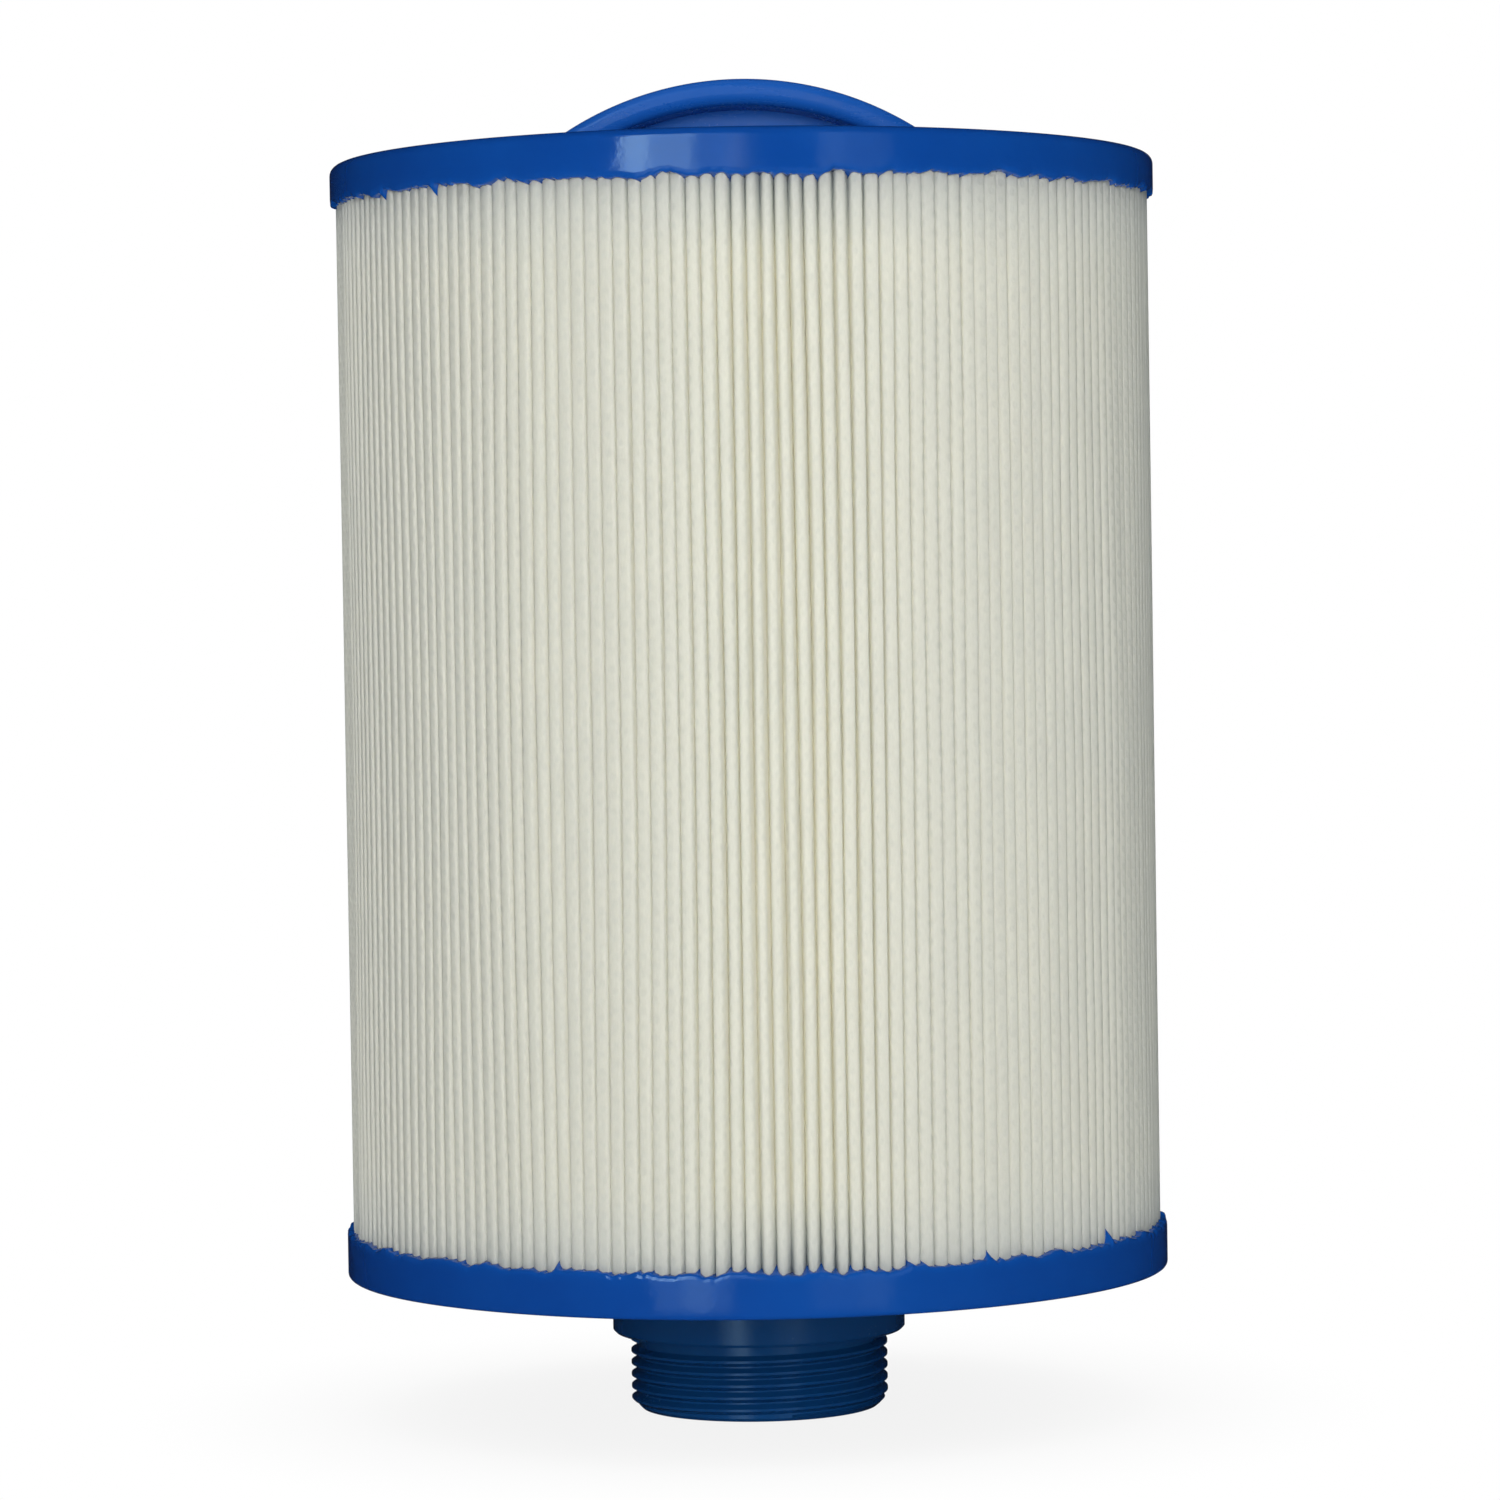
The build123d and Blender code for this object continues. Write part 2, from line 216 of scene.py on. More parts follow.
apart = openness(front_azimuth(2 * pi * np.arange(PLEATS) / PLEATS))
apart = np.maximum(apart, STRAY_OPENNESS * (rng.rand(PLEATS) < STRAY_SHARE))[:, None]
own_shift = smooth_field(rng, 180, 2, OWN_LEAN) + smooth_field(rng, 60, 5, NEAR_LEAN)
every_second = np.where(np.arange(PLEATS) % 2, 1, -1)[:, None]
own_shift += smooth_field(rng, 30, 4, PAIR_PULL) * every_second
tip_shift = SWIRL + smooth_field(rng, 18, 3, SLOW_LEAN)
tip_shift = tip_shift + own_shift * between(TIGHT_FREEDOM, 1, apart)
rounding = between(TIGHT_ROUNDING, OPEN_ROUNDING, apart[:, 0])
bluntness = between(TIGHT_BLUNTNESS, OPEN_BLUNTNESS, apart[:, 0])
tip_inset = np.abs(smooth_field(rng, 90, 4, OWN_INSET)) + np.abs(smooth_field(rng, 24, 3, SLOW_INSET))
tip_inset *= between(TIGHT_INSET, 1, apart)
tip_inset -= OPEN_ROUNDING - rounding[:, None]  # all tips still reach the pack's outside
to_next = np.roll(tip_shift, -1, axis=0) - tip_shift
shoulder_pitch = 2 * pi * (VALLEY_AT + (TIP_AT - VALLEY_AT) * SHOULDER) / PLEATS
shoulder_right = (shoulder_pitch + to_next * SHOULDER**2) / 2 - SHEET / 2 - CLEARANCE
shoulder_half = {-1: np.roll(shoulder_right, 1, axis=0), 1: shoulder_right}
tip_half = between(TIGHT_TIP, OPEN_TIP, apart) + smooth_field(rng, 180, 4, TIP_UNEVENNESS)


def spine(pleat, depth):
    """The middle of a pleat at a depth from 0 at its valley to 1 at its tip, for every row.

    Returns the radius, the angle and the pleat's slope there, each with one value a row.
    """
    inset = tip_inset[pleat] * depth**2
    radius = VALLEY_AT + (TIP_AT - VALLEY_AT) * depth - inset
    reach = TIP_AT - VALLEY_AT
    shift = tip_shift[pleat] * depth**2
    angle = 2 * pi * pleat / PLEATS + shift / radius
    slope = tip_shift[pleat] * 2 * depth / reach - shift / radius
    return radius, angle, slope


def beside_spine(pleat, depth, along, aside):
    """Points beside a pleat's spine: along its direction and at right angles to it, in millimetres."""
    radius, angle, slope = spine(pleat, depth)
    length = np.sqrt(1 + slope**2)
    out = radius + (along - slope * aside) / length
    across = (slope * along + aside) / length
    x = out * np.cos(angle) - across * np.sin(angle)
    y = out * np.sin(angle) + across * np.cos(angle)
    return np.stack([x, y, ROW_LEVELS], axis=1)


def half_thickness(pleat, depth, side):
    """From a pleat's spine to the middle of its sheet for every row, on its side -1 or 1.

    A pleat widens from its valley to its shoulder, where it all but meets its neighbours, and narrows
    again to its tip.
    """
    at_valley = pi * VALLEY_AT / PLEATS - VALLEY_RADIUS
    at_shoulder = shoulder_half[side][pleat]
    if depth <= SHOULDER:
        return at_valley + (at_shoulder - at_valley) * depth / SHOULDER
    at_tip = np.minimum(tip_half[pleat], at_shoulder)
    return at_shoulder + (at_tip - at_shoulder) * (depth - SHOULDER) / (1 - SHOULDER)


def fold_columns(pleat, offset, tip_steps):
    """One pleat's columns of points on a surface offset from the sheet's middle, going anticlockwise.

    Each item is the column and its distance along the sheet from the tip, in millimetres. Pleat 0 has the
    seam at its tip, so it comes as two lists, one for each flank.
    """
    reach = TIP_AT - VALLEY_AT
    left, right, tip = [], [], []
    for depth in FLANK_DEPTHS:
        run = TIP_RUN + reach * (1 - depth)
        aside = half_thickness(pleat, depth, -1) + offset
        left.append((beside_spine(pleat, depth, 0, -aside), -run))
        aside = half_thickness(pleat, depth, 1) + offset
        right.insert(0, (beside_spine(pleat, depth, 0, aside), run))
    for turn in np.linspace(-pi / 2, pi / 2, tip_steps + 1):
        along = (rounding[pleat] + offset) * max(cos(turn), 0) ** bluntness[pleat]
        aside = (half_thickness(pleat, 1.0, 1 if turn > 0 else -1) + offset) * sin(turn)
        tip.append((beside_spine(pleat, 1.0, along, aside), TIP_RUN * turn / (pi / 2)))
    valley_r = VALLEY_AT - (VALLEY_RADIUS - offset)
    middle = 2 * pi * (pleat + 0.5) / PLEATS
    ring = np.array([valley_r * cos(middle), valley_r * sin(middle)])
    valley = np.column_stack([np.tile(ring, (ROWS, 1)), ROW_LEVELS])
    inner_fold = [(valley, TIP_RUN + reach + VALLEY_RADIUS)]
    if pleat == 0:
        return left, right + inner_fold
    return left + tip + right + inner_fold


def sheet_surface(offset, tip_steps):
    """All columns of one side of the sheet from cut edge to cut edge, with their place along it."""
    developed = 2 * (TIP_RUN + TIP_AT - VALLEY_AT + VALLEY_RADIUS)
    seam_left, seam_right = fold_columns(0, offset, tip_steps)
    columns, places, pleat_of = [], [], []
    for pleat in range(PLEATS + 1):
        if pleat == 0:
            part = seam_right
        elif pleat == PLEATS:
            part = seam_left
        else:
            part = fold_columns(pleat, offset, tip_steps)
        for column, run in part:
            columns.append(column)
            places.append(pleat * developed + run)
            pleat_of.append(pleat + run / developed)
    return np.array(columns), np.array(places), np.array(pleat_of)


def zipper(outer_at, inner_at, outer_index, inner_index, flip):
    """Triangles that close the strip between two chains of points, walking both at the same pace."""
    faces = []
    i = j = 0
    while i < len(outer_at) - 1 or j < len(inner_at) - 1:
        step_outer = j == len(inner_at) - 1 or (
            i < len(outer_at) - 1 and outer_at[i + 1] <= inner_at[j + 1]
        )
        if step_outer:
            face = (outer_index[i], outer_index[i + 1], inner_index[j])
            i += 1
        else:
            face = (outer_index[i], inner_index[j + 1], inner_index[j])
            j += 1
        faces.append(face[::-1] if flip else face)
    return faces


def row_by_row(columns):
    """Columns of points as one list of points, all of the lowest row first."""
    return np.array(columns).transpose(1, 0, 2).reshape(-1, 3)


def pleated_sheet(material):
    """The sheet as a closed shell: its two sides, its two cut ends and its upper and lower edges."""
    outer, outer_place, outer_pleat = sheet_surface(SHEET / 2, OUTER_TIP_STEPS)
    inner, inner_place, inner_pleat = sheet_surface(-SHEET / 2, INNER_TIP_STEPS)
    count, inside = len(outer), len(inner)
    points = np.vstack([row_by_row(outer), row_by_row(inner)])
    start = count * ROWS  # the number of the first point on the inside
    faces = grid_faces(ROWS, count)
    faces += grid_faces(ROWS, inside, flip=True, start=start)
    for row, flip in ((0, True), (ROWS - 1, False)):
        outer_index = row * count + np.arange(count)
        inner_index = start + row * inside + np.arange(inside)
        faces += zipper(outer_pleat, inner_pleat, outer_index.tolist(), inner_index.tolist(), flip)
    for low in range(ROWS - 1):
        high = low + 1
        first = (low * count, high * count, start + high * inside, start + low * inside)
        last = (first[0] + count - 1, first[3] + inside - 1, first[2] + inside - 1, first[1] + count - 1)
        faces += [first, last]
    piece = add_piece("folded_sheet", points * MM, faces, material)
    place = np.concatenate([np.tile(outer_place, ROWS), np.tile(inner_place, ROWS)])
    layer = piece.data.uv_layers.new(name="sheet")
    corners = np.zeros(len(piece.data.loops), int)
    piece.data.loops.foreach_get("vertex_index", corners)
    uv = np.column_stack([place[corners] * MM, points[corners, 2] * MM])
    layer.data.foreach_set("uv", uv.ravel())
    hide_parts("pleated_media")


def seam_glue(material):
    """The bead of glue between the sheet's two cut ends, with a front that stands a little proud."""
    back_share, front_share, proud_share = 0.9, 0.95, 0.5  # of the room between the two ends
    half = [(GLUE_FRONT, GLUE_PROUD, proud_share), (GLUE_FRONT, 0, front_share), (GLUE_BACK, 0, back_share)]
    columns = []
    for depth, along, share in [(d, a, -share) for d, a, share in half[::-1]] + half:
        aside = (half_thickness(0, depth, 1 if share > 0 else -1) - SHEET / 2) * share
        columns.append(beside_spine(0, depth, along, aside))
    points = row_by_row(columns)
    faces = grid_faces(ROWS, len(columns), closed_columns=True)
    faces.append(tuple(range(len(columns)))[::-1])
    top = (ROWS - 1) * len(columns)
    faces.append(tuple(top + c for c in range(len(columns))))
    piece = add_piece("seam_glue", points * MM, faces, material)
    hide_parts("seam_bead")


# ---- Cast caps ----


def phase_at(angles, level, radius):
    """How far each angle is from the nearest pleat at a level and radius, and which gap it lies in.

    The distance is 0 on a pleat and 1 in the middle of a gap.
    """
    row = (level - ROW_LEVELS[0]) / (ROW_LEVELS[1] - ROW_LEVELS[0])
    low = int(min(max(row, 0), ROWS - 2))
    share = row - low
    depth = min((radius - VALLEY_AT) / (TIP_AT - VALLEY_AT), 1.0)
    shift = (tip_shift[:, low] * (1 - share) + tip_shift[:, low + 1] * share) * depth**2
    pleats = 2 * pi * np.arange(PLEATS) / PLEATS + shift / radius
    pleats = np.concatenate([pleats - 2 * pi, pleats, pleats + 2 * pi])
    gap = np.interp(angles, pleats, np.arange(-PLEATS, 2 * PLEATS))
    return 1 - np.abs(2 * (gap - np.floor(gap)) - 1), np.floor(gap).astype(int) % PLEATS


def edge_wave(cap_rng, angles, front_fill):
    """The rise and fall of a cast edge round the cap, in millimetres."""
    wave = np.zeros(len(angles))
    for turns, size in EDGE_WAVES:
        wave += size * np.sin(turns * angles + cap_rng.rand() * 2 * pi)
    wave += front_fill * (-np.sin(angles) - 0.25 * np.cos(2 * angles))
    ragged = cap_rng.normal(0, RAGGED, len(angles))
    return wave + (np.roll(ragged, 1) + 2 * ragged + np.roll(ragged, -1)) / 4


def creep_reach(cap_rng):
    """How far the resin creeps into each gap between pleats, as a share of the profile's creep."""
    reach = CREEP_LEAST + CREEP_SPREAD * cap_rng.rand(PLEATS)
    reach *= between(TIGHT_CREEP, 1, apart[:, 0])
    runs = cap_rng.rand(PLEATS) < LONG_RUNS
    reach[runs] += LONG_RUN_LEAST + LONG_RUN_SPREAD * cap_rng.rand(runs.sum())
    return reach


def cap_piece(name, node, material, profile, front_fill, seed):
    """A cast cap as rings of points. Each profile item is (radius, level, wander, creep, thin).

    wander says how much of the edge's wave the ring follows, creep how far the resin runs along the gaps
    between pleats there, in millimetres, and thin how thin the resin is, for the material.
    """
    count = PLEATS * STEPS_PER_PLEAT
    angles = np.linspace(0, 2 * pi, count, endpoint=False)
    cap_rng = np.random.RandomState(seed)
    upward = 1 if node == "bottom_cap" else -1
    wave = edge_wave(cap_rng, angles, front_fill)
    hand_wave = sum(np.sin(n * angles + cap_rng.rand() * 6) * HAND_WAVE / n for n in (2, 3, 5, 7))
    reach = creep_reach(cap_rng)
    points, edge = [], []
    for radius, level, wander, creep, thin in profile:
        z = np.full(count, level) + upward * wave * wander
        if creep:
            phase, gap = phase_at(angles, level, radius)
            z += upward * creep * phase**1.5 * reach[gap]
        r = radius + (hand_wave if radius > PACK_RADIUS else 0)
        points.append(np.column_stack([r * np.cos(angles), r * np.sin(angles), z]))
        edge.append(np.full(count, thin))
    points = np.vstack(points)
    rings = len(profile)
    faces = grid_faces(rings, count, closed_columns=True)
    faces += [
        ((rings - 1) * count + c, (rings - 1) * count + (c + 1) % count, (c + 1) % count, c)
        for c in range(count)
    ]
    piece = add_piece(name, points * MM, faces, material)
    thin = piece.data.attributes.new("thin", "FLOAT", "POINT")
    thin.data.foreach_set("value", np.concatenate(edge))
    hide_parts(node)


def arc(centre_r, centre_z, radius, start, end, steps):
    """Points of a profile's rounded corner, between two angles in degrees from +r towards +z."""
    turns = [radians(start + (end - start) * i / steps) for i in range(steps + 1)]
    return [(centre_r + radius * cos(t), centre_z + radius * sin(t)) for t in turns]


def plain(pairs):
    """Profile items for (radius, level) pairs that neither wander nor creep."""
    return [(r, z, 0, 0, 0) for r, z in pairs]


def creeping_edge(wall, rim, inward):
    """The profile of a cap's edge from its wall over the lip and in between the pleats.

    inward is +1 where the cap is open upwards and -1 where it is open downwards.
    """
    return [
        (wall, rim - 3.4 * inward, 0, 0, 0),
        (wall, rim - 2.2 * inward, 0.5, 0, 0),
        (wall, rim - 1.1 * inward, 0.9, 0.05, 0.1),
        (wall - 0.05, rim - 0.45 * inward, 1.0, 0.15, 0.5),
        (wall - 0.22, rim - 0.12 * inward, 1.0, 0.30, 0.8),
        (wall - 0.55, rim, 1.0, 0.50, 1.0),
        (wall - 0.95, rim, 1.0, 0.80, 1.0),
        (wall - 1.40, rim, 1.0, 1.15, 0.9),
        (wall - 2.0, rim, 1.0, 1.60, 0.5),
        (wall - 3.2, rim, 1.0, 2.40, 0.2),
        (wall - 5.5, rim, 1.0, 3.00, 0),
        (wall - 9.0, rim, 0.5, 3.00, 0),
        (wall - 20.0, rim, 0, 0, 0),
        (CORE_RADIUS - 1, rim, 0, 0, 0),
    ]


def bottom_cap(material):
    """The lower cap, with a hole for the adapter's collar in its flat underside."""
    low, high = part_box("bottom_cap")
    base, wall = low.z / MM, high.x / MM
    inside = base + 3.0  # the level of its hidden inner face
    corner = BOTTOM_CORNER
    profile = plain([(COLLAR_RADIUS, inside), (COLLAR_RADIUS, base)])
    profile += plain([(r, base) for r in (40, 55, 68, wall - 3)])
    profile += plain(arc(wall - corner, base + corner, corner, -90, 0, 4))
    profile += creeping_edge(wall, BOTTOM_RIM + BOTTOM_RIM_RISE, 1)
    profile += plain([(CORE_RADIUS - 1, inside)])
    cap_piece("bottom_cap_cast", "bottom_cap", material, profile, BOTTOM_FRONT_FILL, SEED + 1)


def top_cap(material):
    """The upper cap: a raised lip, a face that has sunk a little and a fillet up to the handle's flange."""
    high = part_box("top_cap")[1]
    top, wall = high.z / MM, high.x / MM
    corner = TOP_CORNER
    profile = creeping_edge(wall, TOP_RIM + TOP_RIM_RISE, -1)[::-1]
    profile += plain(arc(wall - corner, top - corner, corner, 0, 90, 6))
    profile += plain([(wall - 3, top), (wall - 5.6, top - 0.05), (wall - 6.6, top - 0.4)])
    profile += plain([(r, top - 0.5) for r in (wall - 9, 60, FLANGE_RADIUS + 7)])
    profile += plain([(FLANGE_RADIUS + 4.4, top - 0.4), (FLANGE_RADIUS + 3.6, top - 0.02)])
    profile += plain([(FLANGE_RADIUS, top), (FLANGE_RADIUS, top - 3), (CORE_RADIUS - 1, top - 3)])
    cap_piece("top_cap_cast", "top_cap", material, profile, TOP_FRONT_FILL, SEED + 2)


# ---- Node helpers ----


class Nodes:
    """A material's node tree, with short ways to add the nodes that these materials share."""

    def __init__(self, name):
        self.material = bpy.data.materials.new(name)
        self.material.use_nodes = True
        self.tree = self.material.node_tree
        self.tree.nodes.clear()
        self.output = self.tree.nodes.new("ShaderNodeOutputMaterial")

    def add(self, kind, inputs=(), **settings):
        """A node with its settings, and inputs given as {name or number: value or socket}."""
        node = self.tree.nodes.new("ShaderNode" + kind)
        for key, value in settings.items():
            setattr(node, key, value)
        for key, value in dict(inputs).items():
            self.feed(node.inputs[key], value)
        return node

    def feed(self, socket, value):
        if isinstance(value, bpy.types.NodeSocket):
            self.tree.links.new(value, socket)
        else:
            socket.default_value = value

    def maths(self, operation, a, b=0.0, c=0.0):
        return self.add("Math", {0: a, 1: b, 2: c}, operation=operation).outputs[0]

    def length(self, a, b):
        """The length of the hypotenuse over two sides."""
        squares = self.maths("ADD", self.maths("MULTIPLY", a, a), self.maths("MULTIPLY", b, b))
        return self.maths("SQRT", squares)

    def noise(self, where, scale, detail=3.0, roughness=0.5):
        inputs = {"Vector": where, "Scale": scale, "Detail": detail, "Roughness": roughness}
        return self.add("TexNoise", inputs).outputs["Fac"]

    def spread(self, value, low, high, to_low=0.0, to_high=1.0):
        """A value from low to high turned into one from to_low to to_high, and held at those ends."""
        inputs = {"Value": value, 1: low, 2: high, 3: to_low, 4: to_high}
        return self.add("MapRange", inputs, clamp=True).outputs[0]

    def blend(self, share, a, b, mode="MIX"):
        node = self.add("Mix", data_type="RGBA", blend_type=mode)
        self.feed(node.inputs[0], share)
        self.feed(node.inputs[6], a)
        self.feed(node.inputs[7], b)
        return node.outputs[2]

    def bump(self, height, distance, strength=1.0, normal=None):
        inputs = {"Height": height, "Distance": distance, "Strength": strength}
        if normal is not None:
            inputs["Normal"] = normal
        return self.add("Bump", inputs).outputs[0]

    def place(self):
        return self.add("TexCoord").outputs["Object"]

    def principled(self, **inputs):
        """The main shader, with its inputs named as in Blender but for _ instead of a space."""
        named = {key.replace("_", " "): value for key, value in inputs.items()}
        return self.add("BsdfPrincipled", named).outputs[0]

    def finish(self, surface):
        self.tree.links.new(surface, self.output.inputs["Surface"])
        return self.material


# ---- Materials ----


def filter_sheet():
    """Spunbond polyester: fine fibres, staggered rows of pressed bond points, and a painted glow down the
    gaps.

    It lets about half of the light through. The resin has stained it blue next to the caps, and painted
    shade darkens that stain most down the gaps.
    """
    fresh, fresh_pale = (0.865, 0.873, 0.845, 1), (0.893, 0.893, 0.855, 1)
    pressed = (0.76, 0.79, 0.77, 1)  # the bond points
    # painted glow: the paler, warmer colour that the sheet takes deep in the gaps
    painted_gap_glow = (1.0, 0.99, 0.94, 1)
    # the resin's real blue stain together with painted shade, as one blue-grey near the caps
    stain_and_shade = (0.30, 0.40, 0.50, 1)
    light_through = (1.0, 0.995, 0.96, 1)
    dot_across, dot_up = 1.9, 3.1  # from one bond point to the next, in millimetres
    dot_squash = 0.7  # of a bond point's height, which makes it taller than wide
    dot_inside, dot_outside = 0.25, 0.62  # radii between which a bond point fades out, in millimetres
    gap_start, gap_end = 0.6, 2.6  # how far in the painted glow of the gaps starts and is full, in millimetres
    stain_and_shade_reach = 14  # from the caps' rims, in millimetres
    through_share = 0.58

    nodes = Nodes("spunbond_polyester")
    where = nodes.place()
    uv = nodes.add("UVMap", uv_map="sheet").outputs[0]
    along, up = nodes.add("SeparateXYZ", {0: uv}).outputs[0:2]
    column = nodes.maths("DIVIDE", along, dot_across * MM)
    parity = nodes.maths("FLOORED_MODULO", nodes.maths("FLOOR", column), 2.0)
    half_a_row = nodes.maths("MULTIPLY", parity, 0.5)
    row = nodes.maths("ADD", nodes.maths("DIVIDE", up, dot_up * MM), half_a_row)
    from_column = nodes.maths("SUBTRACT", nodes.maths("FRACT", column), 0.5)
    from_row = nodes.maths("SUBTRACT", nodes.maths("FRACT", row), 0.5)
    across = nodes.maths("MULTIPLY", from_column, dot_across)
    upward = nodes.maths("MULTIPLY", from_row, dot_up * dot_squash)
    dot = nodes.spread(nodes.length(across, upward), dot_inside, dot_outside, 1.0, 0.0)
    fibre_place = nodes.add("Mapping", {"Vector": where, "Scale": (1.0, 1.0, 0.28)}).outputs[0]
    fibres = nodes.noise(fibre_place, 2600.0, 4.0, 0.65)
    cloud = nodes.noise(where, 60.0, 3.0)

    x, y, z = nodes.add("SeparateXYZ", {0: where}).outputs[0:3]
    deep = nodes.spread(
        nodes.length(x, y), (PACK_RADIUS - gap_start) * MM, (PACK_RADIUS - gap_end) * MM
    )
    colour = nodes.blend(cloud, fresh, fresh_pale)
    colour = nodes.blend(nodes.maths("MULTIPLY", dot, 0.22), colour, pressed)
    speck = nodes.spread(fibres, 0.35, 0.65, 0.955, 1.0)
    specks = nodes.add("CombineXYZ", {0: speck, 1: speck, 2: speck}).outputs[0]
    colour = nodes.blend(1.0, colour, specks, "MULTIPLY")
    # painted glow: paler, warmer colour down the gaps, standing in for light that glows between the folds
    colour = nodes.blend(deep, colour, painted_gap_glow)
    to_top = nodes.maths("SUBTRACT", TOP_RIM * MM, z)
    to_bottom = nodes.maths("SUBTRACT", z, BOTTOM_RIM * MM)
    to_rim = nodes.maths("MINIMUM", to_top, to_bottom)
    # painted shade with the real stain: blue-grey near the caps' rims, strongest down the gaps, where shade
    # falls
    stain_and_shade_share = nodes.maths("POWER", nodes.spread(to_rim, stain_and_shade_reach * MM, 0), 1.6)
    stain_and_shade_share = nodes.maths("MULTIPLY", stain_and_shade_share, nodes.maths("MULTIPLY_ADD", deep, 0.75, 0.12))
    colour = nodes.blend(stain_and_shade_share, colour, stain_and_shade)
    relief = nodes.maths("SUBTRACT", nodes.maths("MULTIPLY", fibres, 0.25), dot)
    normal = nodes.bump(relief, 0.10 * MM, 0.8)
    felt = nodes.principled(
        Base_Color=colour,
        Roughness=nodes.spread(dot, 0, 1, 0.92, 0.7),
        Normal=normal,
        Specular_IOR_Level=0.25,
        Sheen_Weight=0.1,
        Sheen_Roughness=0.6,
    )
    warm = nodes.blend(1.0, colour, light_through, "MULTIPLY")
    through = nodes.add("BsdfTranslucent", {"Color": warm, "Normal": normal}).outputs[0]
    return nodes.finish(nodes.add("MixShader", {0: through_share, 1: felt, 2: through}).outputs[0])


def blue_plastic(name, colour, light, roughness, grain, thin_edge):
    """Glossy blue plastic with a slightly uneven skin, cloudy gloss and a little dust.

    With thin_edge it turns towards its lighter colour where its mesh says that it is thin.
    """
    most_light, most_light_when_thin = 0.35, 0.55
    nodes = Nodes(name)
    where = nodes.place()
    cloud = nodes.noise(where, 38.0, 4.0)
    skin = nodes.noise(where, grain, 3.0, 0.6)
    dust = nodes.noise(where, 2400.0, 2.0)
    mixed = nodes.blend(nodes.spread(cloud, 0.3, 0.7, 0.0, most_light), (*colour, 1), (*light, 1))
    if thin_edge:
        thin = nodes.add("Attribute", attribute_name="thin").outputs["Fac"]
        mixed = nodes.blend(nodes.maths("MULTIPLY", thin, most_light_when_thin), mixed, (*light, 1))
    stretched = nodes.add("Mapping", {"Vector": where, "Scale": (1, 1, 5)}).outputs[0]
    smear = nodes.noise(stretched, 55.0, 5.0, 0.7)
    gloss = nodes.spread(smear, 0.35, 0.7, roughness * 0.75, roughness * 1.35)
    gloss = nodes.maths("ADD", gloss, nodes.spread(dust, 0.6, 0.8, 0.0, 0.06))
    normal = nodes.bump(skin, 0.10 * MM, 0.35)
    normal = nodes.bump(dust, 0.02 * MM, 0.25, normal)
    return nodes.finish(nodes.principled(Base_Color=mixed, Roughness=gloss, Normal=normal, IOR=1.48))


def white_plastic(name, colour, roughness):
    """Plain white moulding: faintly cloudy, with a fine matt grain."""
    nodes = Nodes(name)
    where = nodes.place()
    cloud = nodes.noise(where, 45.0, 3.0)
    grain = nodes.noise(where, 1800.0, 2.0)
    darker = tuple(c * 0.9 for c in colour)
    return nodes.finish(
        nodes.principled(
            Base_Color=nodes.blend(cloud, (*darker, 1), (*colour, 1)),
            Roughness=nodes.spread(grain, 0.3, 0.7, roughness - 0.08, roughness + 0.08),
            Normal=nodes.bump(grain, 0.03 * MM, 0.4),
        )
    )


def dress(node, material):
    """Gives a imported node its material."""
    slots = frame["nodes"][node].material_slots
    for slot in slots:
        slot.link = "OBJECT"
        slot.material = material


# ---- Build the pieces ----

resin = blue_plastic(
    "cast_polyurethane", (0.0025, 0.040, 0.228), (0.005, 0.072, 0.338), 0.10, 420.0, True
)
moulded = blue_plastic(
    "moulded_blue", (0.007, 0.085, 0.40), (0.0125, 0.107, 0.465), 0.26, 900.0, False
)
# painted shade: a darker blue than the moulded handle's, standing in for the shade under the bottom cap's
# overhang
shaded_adapter_blue = blue_plastic(
    "shaded_adapter_blue", (0.0031, 0.039, 0.142), (0.0046, 0.059, 0.197), 0.20, 900.0, False
)
core_white = white_plastic("core_polypropylene", (0.82, 0.83, 0.82), 0.5)
glue = white_plastic("hot_melt_glue", (0.80, 0.77, 0.64), 0.35)

pleated_sheet(filter_sheet())
seam_glue(glue)
bottom_cap(resin)
top_cap(resin)
dress("handle_insert", moulded)
dress("threaded_adapter", shaded_adapter_blue)
for section in ("lower", "middle", "upper"):
    dress("core_section_" + section, core_white)


# ---- Stage ----


def floor():
    """A plain white floor under the nipple, with a soft shadow where the object stands.

    The camera sees it white from above and not at all from below, and it sends light back up. It
    doesn't show in reflections.
    """
    shadow_reach, darkest = 0.05, 0.88
    pale = (0.90, 0.92, 0.94, 1)
    nodes = Nodes("white_floor")
    shade = nodes.add("AmbientOcclusion", {"Distance": shadow_reach}, samples=12).outputs["AO"]
    seen = nodes.add("Emission", {"Strength": nodes.spread(shade, 0.2, 1.0, darkest, 1.0)}).outputs[0]
    bounce = nodes.add("BsdfDiffuse", {"Color": pale}).outputs[0]
    to_camera = nodes.add("LightPath").outputs["Is Camera Ray"]
    surface = nodes.add("MixShader", {0: to_camera, 1: bounce, 2: seen}).outputs[0]
    from_below = nodes.maths("MULTIPLY", to_camera, nodes.add("NewGeometry").outputs["Backfacing"])
    clear = nodes.add("BsdfTransparent").outputs[0]
    nodes.finish(nodes.add("MixShader", {0: from_below, 1: surface, 2: clear}).outputs[0])
    size = 6.0
    level = cad_low.z - 0.2 * MM
    corners = [(-size, -size, level), (size, -size, level), (size, size, level), (-size, size, level)]
    mesh = bpy.data.meshes.new("floor")
    mesh.from_pydata(corners, [], [(0, 1, 2, 3)])
    mesh.materials.append(nodes.material)
    plane = bpy.data.objects.new("floor", mesh)
    plane.visible_glossy = False
    bpy.context.scene.collection.objects.link(plane)


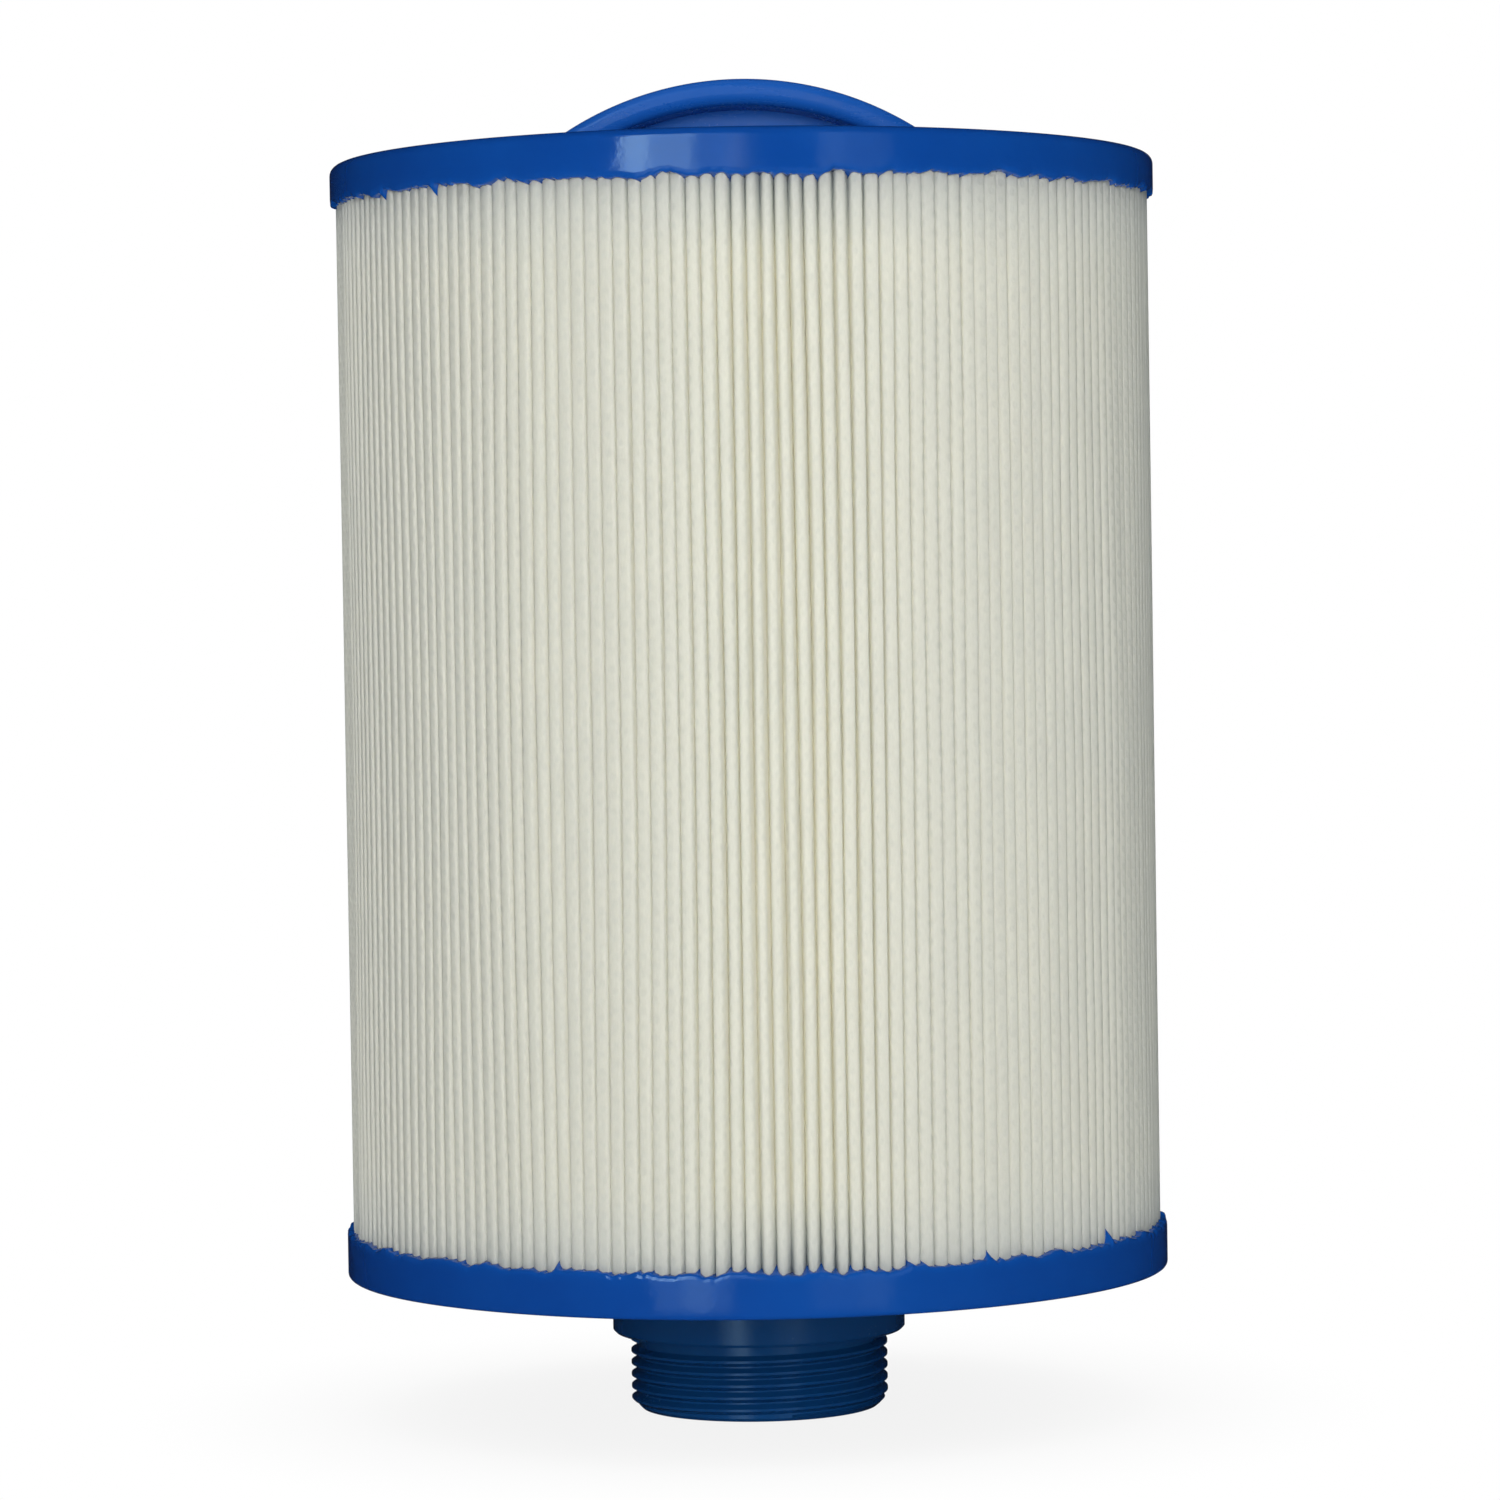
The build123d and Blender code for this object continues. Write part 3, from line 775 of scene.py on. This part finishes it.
def world():
    """White to the camera, dim grey to everything that it lights and nearly black in reflections."""
    lighting, reflected = 0.20, 0.008
    scene_world = bpy.data.worlds.new("studio")
    bpy.context.scene.world = scene_world
    scene_world.use_nodes = True
    tree = scene_world.node_tree
    tree.nodes.clear()
    output = tree.nodes.new("ShaderNodeOutputWorld")
    seen = tree.nodes.new("ShaderNodeBackground")
    seen.inputs["Strength"].default_value = 1.0
    seen.inputs["Color"].default_value = (1, 1, 1, 1)
    dim = tree.nodes.new("ShaderNodeBackground")
    dim.inputs["Color"].default_value = (0.90, 0.97, 1.0, 1)
    mix = tree.nodes.new("ShaderNodeMixShader")
    path = tree.nodes.new("ShaderNodeLightPath")
    mirrored = tree.nodes.new("ShaderNodeMapRange")
    mirrored.inputs[3].default_value = lighting
    mirrored.inputs[4].default_value = reflected
    tree.links.new(path.outputs["Is Glossy Ray"], mirrored.inputs[0])
    tree.links.new(mirrored.outputs[0], dim.inputs["Strength"])
    tree.links.new(path.outputs["Is Camera Ray"], mix.inputs[0])
    tree.links.new(dim.outputs[0], mix.inputs[1])
    tree.links.new(seen.outputs[0], mix.inputs[2])
    tree.links.new(mix.outputs[0], output.inputs["Surface"])


def lamp(name, azimuth, level, distance, width, height, radiance, colour, to_mirror):
    """A rectangular lamp round the object. Azimuth is in degrees, 0 in front and positive to the right.

    With to_mirror it only shows as a highlight, and otherwise it only lights the object.
    """
    light = bpy.data.lights.new(name, "AREA")
    light.shape = "RECTANGLE"
    light.size = width
    light.size_y = height
    light.energy = radiance * pi * width * height
    light.color = colour
    holder = bpy.data.objects.new(name, light)
    turn = radians(azimuth)
    centre = Vector((0, 0, (cad_low.z + cad_high.z) / 2))
    spot = Vector((sin(turn) * distance, -cos(turn) * distance, level))
    if to_mirror:
        centre.z = level
    aim = (centre - spot).to_track_quat("-Z", "Y")
    holder.matrix_world = Matrix.Translation(spot) @ aim.to_matrix().to_4x4()
    holder.visible_glossy = to_mirror
    holder.visible_diffuse = not to_mirror
    bpy.context.scene.collection.objects.link(holder)


def strips():
    """Window panes that show as upright highlights: bright in the top cap, faint in the bottom one.

    Each pane is the azimuth of its middle and its width in degrees, and its radiance.
    """
    distance, sky = 1.35, (0.56, 0.87, 1.0)
    high = ((-28.2, 8, 6.0), (-18.2, 12, 3.4), (-6.1, 12, 1.0), (24.4, 7, 0.8), (34.0, 12, 0.5))
    low = ((-24, 8, 0.8), (-16, 8, 1.5), (-9.5, 5, 0.7), (20, 12, 0.3), (31, 9, 0.5))
    for row, level, height in ((high, 0.55, 0.9), (low, -0.15, 0.45)):
        for number, (azimuth, spread, radiance) in enumerate(row):
            width = 2 * distance * tan(radians(spread / 2))
            lamp(f"strip_{level}_{number}", azimuth, level, distance, width, height, radiance, sky, True)


def camera():
    """A long lens level with the upper part of the body, held very slightly off level."""
    focal_length, sensor_width = 124.2, 36.0  # in millimetres
    distance, height, pitch, roll = 0.963, 0.1311, radians(1.38), radians(-0.9)
    lens = bpy.data.cameras.new("camera")
    lens.sensor_width = sensor_width
    lens.lens = focal_length
    lens.clip_start = 0.05
    lens.clip_end = 50.0
    holder = bpy.data.objects.new("camera", lens)
    aim = Matrix.Rotation(pi / 2 - pitch, 4, "X") @ Matrix.Rotation(roll, 4, "Z")
    holder.matrix_world = Matrix.Translation((0, -distance, height)) @ aim
    bpy.context.scene.collection.objects.link(holder)
    bpy.context.scene.camera = holder


floor()
world()
WARM, PALE_WARM = (1.0, 0.98, 0.925), (1.0, 0.995, 0.98)
COOL, PALE_COOL = (0.91, 0.98, 1.0), (0.98, 0.99, 1.0)
lamp("front", 0, 0.22, 1.05, 0.10, 0.5, 63.0, WARM, False)
lamp("left", -115, 0.35, 1.5, 0.9, 1.0, 1.15, COOL, False)
lamp("right", 115, 0.35, 1.5, 0.9, 1.0, 0.95, COOL, False)
lamp("back", 180, 0.35, 1.5, 0.9, 1.0, 5.0, PALE_WARM, False)
lamp("top", 0, 1.3, 0.25, 0.8, 0.8, 1.8, PALE_COOL, False)
strips()
camera()
bpy.context.scene.view_settings.view_transform = "Standard"
bpy.context.scene.cycles.use_denoising = True
BOUNCES = 32  # enough for light to find its way out through many folds of the sheet
bpy.context.scene.cycles.max_bounces = BOUNCES
bpy.context.scene.cycles.diffuse_bounces = BOUNCES
bpy.context.scene.cycles.transmission_bounces = BOUNCES
